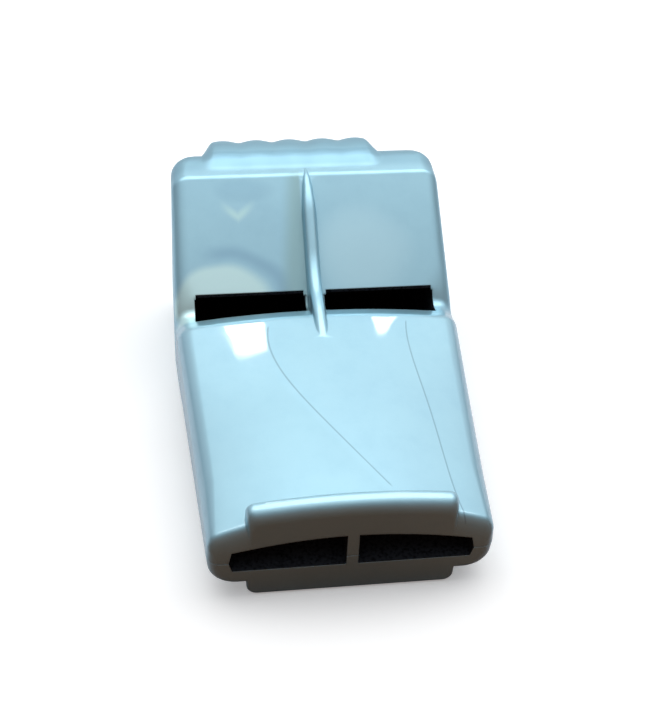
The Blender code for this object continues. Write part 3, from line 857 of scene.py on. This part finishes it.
def pearl_plastic(name, with_marks_and_painted_shade):
    """Pearl-filled plastic: metal-like flakes under a clear gloss, with mould lines and small pale glints,
    and on the upper shell paler and deeper patches and painted shade beside the fin.
    """
    finish = finish_colours()
    surface = Surface(name)
    _, x, y, z = surface.position()

    cloud = surface.noise(0.11, detail=2.0)
    flow = surface.noise(0.45, detail=4.0, roughness=0.6, offset=(7.0, 3.0, 1.0))
    flakes = surface.cells(9.0)
    glints = surface.cells(5.5).ramp(0.0, 0.16, 1.0, 0.0)

    depth = cloud.ramp(0.35, 0.7) * 0.3 + flow.ramp(0.4, 0.75) * 0.14
    base = surface.mixed(depth, tuple(finish.pearl), tuple(finish.pearl_deep))
    base = surface.mixed(glints * 0.22, base, (0.92, 0.98, 1.0))
    if with_marks_and_painted_shade:
        base = marks_and_painted_shade(surface, base)

    fine = surface.noise(26.0, detail=2.0)
    rough = 0.44 + flakes * 0.05 + flow.ramp(0.3, 0.8) * 0.06
    height = flakes * 0.35 + fine * 0.35 + flow * 0.3
    if with_marks_and_painted_shade:
        ripples = surface.noise(1.1, detail=2.0, stretch=(0.45, 1.6, 1.6))
        pad = abs(x + 1.35).ramp(8.5, 10.5, 1.0, 0.0)
        height = height + ripples * y.ramp(18.5, 20.5) * pad * z.ramp(16.0, 19.0) * RIPPLE_STRENGTH
    normal = surface.node("ShaderNodeBevel", {"samples": 6}, {"Radius": 0.22 * MM})
    normal = surface.bump(height, 0.10, 0.02 * MM, normal)

    if with_marks_and_painted_shade:
        left = knit_line(surface, *LEFT_KNIT_LINE)
        right = knit_line(surface, *RIGHT_KNIT_LINE)
        above = z.ramp(7.6, 8.0)
        lines = left.most(right) * above
        base = surface.mixed(lines * 0.6, base, tuple(finish.knit))
        normal = surface.bump(lines, 0.25, 0.03 * MM, normal)

    coat = y.ramp(2.0, 5.0, 1.0, 0.15)
    surface.set(base_color=base, metallic=0.9, roughness=rough, normal=normal, coat_weight=coat)
    surface.shader.inputs["Coat Roughness"].default_value = 0.03
    surface.shader.inputs["Coat IOR"].default_value = 1.6
    surface.shader.inputs["IOR"].default_value = 1.5
    return surface.material


def painted_shade_inner_plastic():
    """Matt plastic of the faces inside the channels and the chambers, near black as painted shade for these
    hollows of the pearl plastic.
    """
    surface = Surface("painted_shade_inner_plastic")
    grain = surface.noise(3.0, detail=3.0)
    base = surface.mixed(grain.ramp(0.4, 0.7), tuple(finish_colours().inside), (0.006, 0.007, 0.010))
    surface.set(base_color=base, roughness=0.7 + grain * 0.15, normal=surface.bump(grain, 0.1, 0.03 * MM))
    surface.shader.inputs["Specular IOR Level"].default_value = 0.15
    return surface.material


def block_plastic():
    finish = finish_colours()
    surface = Surface("block_plastic")
    grain = surface.noise(6.0, detail=4.0)
    patches = surface.noise(0.5, detail=2.0)
    darker = tuple(part * 0.7 for part in finish.block)
    base = surface.mixed(patches.ramp(0.35, 0.7) * 0.4, tuple(finish.block), darker)
    surface.set(base_color=base, metallic=0.2, roughness=0.5 + grain * 0.12)
    surface.set(normal=surface.bump(grain, 0.15, 0.03 * MM))
    return surface.material


def finish_piece(obj, node):
    smooth_shaded(obj)
    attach(obj, "root")
    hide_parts(node)


class WHISTLE_OT_upper_shell(bpy.types.Operator):
    """Build the upper shell with its windows, bite ridge, fin, grip and half of the eye"""

    bl_idname = "whistle.upper_shell"
    bl_label = "Upper Shell"

    def execute(self, context):
        size, detail = body_sizes(), detail_sizes()
        face = size.weld_height + size.weld_groove / 2
        outline = upper_outline()
        rings = []
        for y, inset_x, inset_z in stations(outline, UPPER_MOUTH_ROUNDING):
            top = height_at(outline, y) - inset_z
            ring = section(half_width(y) - inset_x, face, top, top_corner(y), crown_drop(y))
            rings.append([(x, y, z) for x, z in ring])
        crest = size.mouth_top + detail.ridge_rise
        joined = [
            ridge(detail.mouth_roof - MOUTH_ROOF_DROP, crest, RIDGE_DROP, UPPER_RIDGE_FRONT_RADIUS),
            grip(),
            eye_half(face, size.weld_height + EYE_HEIGHT / 2 + EYE_BAR),
        ]
        cut = []
        for side in (-1, 1):
            cut += [channel_cutter(side), pocket_cutter(side), chamber_cutter(side), window_cutter(side)]
        skin = pearl_plastic("pearl_upper", True)
        body, inner = drawn_out(rings), painted_shade_inner_plastic()
        shell = carved("pearl_upper_shell", body, skin, inner, joined, cut, [eye_cutter()], [fin()])
        finish_piece(shell, "upper_shell")
        return {"FINISHED"}


class WHISTLE_OT_lower_shell(bpy.types.Operator):
    """Build the lower shell with its bite ridge, belly and half of the eye"""

    bl_idname = "whistle.lower_shell"
    bl_label = "Lower Shell"

    def execute(self, context):
        size, detail = body_sizes(), detail_sizes()
        face = size.weld_height - size.weld_groove / 2
        outline = lower_outline()
        rings = []
        for y, inset_x, inset_z in stations(outline, LOWER_MOUTH_ROUNDING):
            bottom = height_at(outline, y) + inset_z
            ring = section(half_width(y) - inset_x, face, bottom, LOWER_CORNER_RADIUS, 0.0)
            rings.append([(x, y, z) for x, z in ring])
        joined = [
            ridge(detail.mouth_floor - OVERLAP, 0.0, 0.0, LOWER_RIDGE_FRONT_RADIUS),
            eye_half(size.weld_height - EYE_HEIGHT / 2 - EYE_BAR, face),
        ]
        cut = []
        for side in (-1, 1):
            cut += [channel_cutter(side), pocket_cutter(side), chamber_cutter(side)]
        skin = pearl_plastic("pearl_lower", False)
        body, inner = drawn_out(rings), painted_shade_inner_plastic()
        shell = carved("pearl_lower_shell", body, skin, inner, joined, cut, [eye_cutter()])
        finish_piece(shell, "lower_shell")
        return {"FINISHED"}


class WHISTLE_OT_windway_blocks(bpy.types.Operator):
    """Give both channel blocks their plastic"""

    bl_idname = "whistle.windway_blocks"
    bl_label = "Windway Blocks"

    def execute(self, context):
        material = block_plastic()
        for name in ("left_windway_block", "right_windway_block"):
            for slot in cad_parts[name].material_slots:
                slot.material = material
        return {"FINISHED"}


class WHISTLE_OT_stage(bpy.types.Operator):
    """Set the floor, the lamps, the room and the camera"""

    bl_idname = "whistle.stage"
    bl_label = "Studio Stage"

    def execute(self, context):
        floor()
        room()
        for lamp in SOFT_LAMPS:
            soft_lamp(*lamp)
        lamp_panel()
        camera()
        return {"FINISHED"}


# Lamps: name, place, target, width and depth, watts, and the way that is up.
RIGHT_LAMP_PLACE = (0.0996, 0.2556, 0.2461)
RIGHT_LAMP_TARGET = (0.0068, -0.0015, 0.0118)
SOFT_LAMPS = (
    ("key_softbox", (0.08, 0.12, 0.45), (0.08, 0.12, 0.0), (1.00, 0.36), 1.95, (0.0, 1.0, 0.0)),
    ("right_lamp", RIGHT_LAMP_PLACE, RIGHT_LAMP_TARGET, (0.029, 0.020), 0.018, (0.0, 0.0, 1.0)),
)
LEFT_PANEL_CORNERS = (
    (-0.0580, 0.2283, 0.2690),
    (-0.0211, 0.2394, 0.2621),
    (-0.0106, 0.2493, 0.2569),
    (-0.0410, 0.2567, 0.2479),
    (-0.0492, 0.2340, 0.2673),
)
LEFT_PANEL_GLOW = 13.0

FLOOR_HALF_WIDTH = 3.0
FLOOR_BELOW = 0.02 * MM
FLOOR_GLOW = 0.28

# The room's colours by height, leaned forward; the lowest one is the finish's room colour.
ROOM_LEAN = 0.7
ROOM_STRENGTH = 1.15
ROOM_STOPS = (
    (0.3, (0.12, 0.13, 0.14)),
    (0.46, (0.17, 0.19, 0.20)),
    (0.6, (0.44, 0.49, 0.53)),
    (0.75, (0.54, 0.58, 0.62)),
    (1.0, (0.40, 0.40, 0.40)),
)

# Camera that was fitted to the object's outline in the photo: place, and its right, up and back axes.
CAMERA_PLACE = (-0.01493213, -0.10729979, 0.0915124)
CAMERA_AXES = (
    (0.99181142, -0.12312291, 0.03392427),
    (0.05007387, 0.61926922, 0.7835804),
    (-0.11748496, -0.77546527, 0.62036353),
)
CAMERA_LENS = 59.633
CAMERA_SENSOR = 36.0


def floor():
    """White floor that the camera sees, and a darker one that the plastic mirrors, painted with the dark room
    colour in front of the mouth as a painted shadow of the object there.
    """
    shape = bmesh.new()
    bmesh.ops.create_grid(shape, x_segments=8, y_segments=8, size=FLOOR_HALF_WIDTH)
    bmesh.ops.translate(shape, verts=shape.verts, vec=(0.0, 0.0, -FLOOR_BELOW))
    obj = as_object(shape, "studio_floor")
    surface = Surface("studio_floor")
    finish = finish_colours()
    seen = surface.node("ShaderNodeLightPath")
    # Painted shadow: in front of the mouth the mirrored floor fades to the dark room colour.
    front = surface.position()[2].ramp(-31.0, -21.0, 1.0, 0.0)
    mirrored = surface.mixed(front, tuple(finish.floor_mirrored), tuple(finish.room))
    dark = surface.node("ShaderNodeBsdfDiffuse", values={"Color": mirrored})
    lit = surface.node("ShaderNodeBsdfDiffuse", values={"Color": (*finish.floor, 1.0)})
    glow = surface.node("ShaderNodeEmission", values={"Strength": FLOOR_GLOW})
    bright = surface.node("ShaderNodeAddShader", values=[lit, glow])
    both = surface.node("ShaderNodeMixShader", values=[seen, dark, bright])
    surface.tree.links.new(both.socket, surface.tree.nodes["Material Output"].inputs[0])
    obj.data.materials.append(surface.material)


def room():
    """Pale overhead light that fades to a darker room near the horizon and in front."""
    world = bpy.data.worlds.new("studio_room")
    bpy.context.scene.world = world
    world.use_nodes = True
    tree = world.node_tree
    background = tree.nodes["Background"]
    coordinates = tree.nodes.new("ShaderNodeTexCoord")
    parts = tree.nodes.new("ShaderNodeSeparateXYZ")
    tree.links.new(coordinates.outputs[0], parts.inputs[0])
    lean = tree.nodes.new("ShaderNodeMath")
    lean.operation = "MULTIPLY_ADD"
    tree.links.new(parts.outputs[1], lean.inputs[0])
    lean.inputs[1].default_value = ROOM_LEAN
    tree.links.new(parts.outputs[2], lean.inputs[2])
    ramp = tree.nodes.new("ShaderNodeValToRGB")
    stops = ((0.0, finish_colours().room), *ROOM_STOPS)
    for number, (place, tint) in enumerate(stops):
        stop = ramp.color_ramp.elements[number] if number < 2 else ramp.color_ramp.elements.new(place)
        stop.position, stop.color = place, (*tint, 1.0)
    tree.links.new(lean.outputs[0], ramp.inputs[0])
    tree.links.new(ramp.outputs[0], background.inputs[0])
    background.inputs[1].default_value = ROOM_STRENGTH


def soft_lamp(name, place, target, size, watts, up):
    light = bpy.data.lights.new(name, "AREA")
    light.shape = "ELLIPSE"
    light.size, light.size_y = size
    light.energy = watts
    lamp = bpy.data.objects.new(name, light)
    back = (Vector(place) - Vector(target)).normalized()
    side = Vector(up).cross(back).normalized()
    turned = Matrix((side, back.cross(side), back)).transposed().to_4x4()
    lamp.matrix_world = Matrix.Translation(place) @ turned
    bpy.context.scene.collection.objects.link(lamp)


def lamp_panel():
    """Small five-sided lamp at the rear left, which the brow mirrors as one bright patch."""
    shape = bmesh.new()
    shape.faces.new([shape.verts.new(corner) for corner in LEFT_PANEL_CORNERS])
    obj = as_object(shape, "left_lamp_panel")
    surface = Surface("left_lamp_panel")
    glow = surface.node("ShaderNodeEmission", values={"Strength": LEFT_PANEL_GLOW})
    surface.tree.links.new(glow.socket, surface.tree.nodes["Material Output"].inputs[0])
    obj.data.materials.append(surface.material)


def camera():
    data = bpy.data.cameras.new("photo_camera")
    data.lens = CAMERA_LENS
    data.sensor_width = CAMERA_SENSOR
    data.sensor_fit = "AUTO"
    data.clip_start = 0.005
    data.clip_end = 20.0
    view = bpy.data.objects.new("photo_camera", data)
    turned = Matrix(CAMERA_AXES).transposed().to_4x4()
    view.matrix_world = Matrix.Translation(CAMERA_PLACE) @ turned
    bpy.context.scene.collection.objects.link(view)
    bpy.context.scene.camera = view


class WHISTLE_PT_panel(bpy.types.Panel):
    """Buttons and sizes of the whistle"""

    bl_idname = "WHISTLE_PT_panel"
    bl_label = "Whistle"
    bl_space_type = "VIEW_3D"
    bl_region_type = "UI"
    bl_category = "Whistle"

    def draw(self, context):
        for operator in OPERATORS:
            self.layout.operator(operator.bl_idname)
        for name in PROPERTIES:
            group = getattr(context.scene, name)
            box = self.layout.box()
            for key in group.bl_rna.properties.keys():
                if key not in ("rna_type", "name"):
                    box.prop(group, key)


GROUPS = (WhistleBodySizes, WhistleDetailSizes, WhistleFinish)
PROPERTIES = ("whistle_body", "whistle_details", "whistle_finish")
OPERATORS = (
    WHISTLE_OT_upper_shell,
    WHISTLE_OT_lower_shell,
    WHISTLE_OT_windway_blocks,
    WHISTLE_OT_stage,
)


def register():
    for group in GROUPS:
        bpy.utils.register_class(group)
    for name, group in zip(PROPERTIES, GROUPS):
        setattr(bpy.types.Scene, name, PointerProperty(type=group))
    for operator in OPERATORS:
        bpy.utils.register_class(operator)
    bpy.utils.register_class(WHISTLE_PT_panel)


def unregister():
    bpy.utils.unregister_class(WHISTLE_PT_panel)
    for operator in reversed(OPERATORS):
        bpy.utils.unregister_class(operator)
    for name in PROPERTIES:
        delattr(bpy.types.Scene, name)
    for group in reversed(GROUPS):
        bpy.utils.unregister_class(group)


def main():
    register()
    bpy.context.scene.view_settings.view_transform = "Standard"
    bpy.ops.whistle.upper_shell()
    bpy.ops.whistle.lower_shell()
    bpy.ops.whistle.windway_blocks()
    bpy.ops.whistle.stage()


if __name__ == "__main__":
    main()
